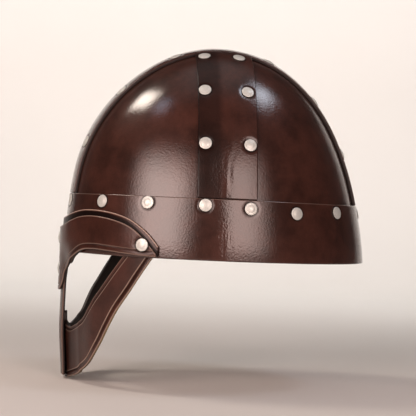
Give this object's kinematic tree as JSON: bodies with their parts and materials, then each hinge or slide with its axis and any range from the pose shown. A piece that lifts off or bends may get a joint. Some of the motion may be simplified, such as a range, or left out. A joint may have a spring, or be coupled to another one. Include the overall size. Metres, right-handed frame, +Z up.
{
  "type": "leather helmet with eye and nose guards",
  "caption": "Riveted leather dome helmet of the spectacled early-medieval kind: band, crossed straps over moulded panels, brow guard, nose strip and a curved eye guard.",
  "frame": {"origin": "middle of the head opening, on the plane of the band's lower rim, where a head sits", "axes": "+Z up to the crown, -X the way the wearer looks, -Y the wearer's left"},
  "size_m": [0.2438, 0.19, 0.2647],
  "materials": {
    "dyed_leather": "dark red-brown, waxed to a gloss",
    "rivet_metal": "warm nickel plate, softly polished"
  },
  "bodies": {
    "root": {"brow_band": "dyed_leather", "brow_guard": "dyed_leather", "crest_strap": "dyed_leather", "eye_guard": "dyed_leather", "nose_guard": "dyed_leather", "panel_front_left": "dyed_leather", "panel_front_right": "dyed_leather", "panel_rear_left": "dyed_leather", "panel_rear_right": "dyed_leather", "rivet_band_left_1": "rivet_metal", "rivet_band_left_2": "rivet_metal", "rivet_band_left_3": "rivet_metal", "rivet_band_left_4": "rivet_metal", "rivet_band_left_5": "rivet_metal", "rivet_band_left_6": "rivet_metal", "rivet_band_left_7": "rivet_metal", "rivet_band_left_8": "rivet_metal", "rivet_band_right_1": "rivet_metal", "rivet_band_right_2": "rivet_metal", "rivet_band_right_3": "rivet_metal", "rivet_band_right_4": "rivet_metal", "rivet_band_right_5": "rivet_metal", "rivet_band_right_6": "rivet_metal", "rivet_band_right_7": "rivet_metal", "rivet_band_right_8": "rivet_metal", "rivet_brow_front": "rivet_metal", "rivet_brow_left": "rivet_metal", "rivet_brow_nose": "rivet_metal", "rivet_brow_right": "rivet_metal", "rivet_crest_left_front_1": "rivet_metal", "rivet_crest_left_front_2": "rivet_metal", "rivet_crest_left_front_3": "rivet_metal", "rivet_crest_left_rear_1": "rivet_metal", "rivet_crest_left_rear_2": "rivet_metal", "rivet_crest_left_rear_3": "rivet_metal", "rivet_crest_right_front_1": "rivet_metal", "rivet_crest_right_front_2": "rivet_metal", "rivet_crest_right_front_3": "rivet_metal", "rivet_crest_right_rear_1": "rivet_metal", "rivet_crest_right_rear_2": "rivet_metal", "rivet_crest_right_rear_3": "rivet_metal", "rivet_strap_left_aft_1": "rivet_metal", "rivet_strap_left_aft_2": "rivet_metal", "rivet_strap_left_aft_3": "rivet_metal", "rivet_strap_left_fore_1": "rivet_metal", "rivet_strap_left_fore_2": "rivet_metal", "rivet_strap_left_fore_3": "rivet_metal", "rivet_strap_right_aft_1": "rivet_metal", "rivet_strap_right_aft_2": "rivet_metal", "rivet_strap_right_aft_3": "rivet_metal", "rivet_strap_right_fore_1": "rivet_metal", "rivet_strap_right_fore_2": "rivet_metal", "rivet_strap_right_fore_3": "rivet_metal", "side_strap_left": "dyed_leather", "side_strap_right": "dyed_leather"}
  },
  "joints": []
}
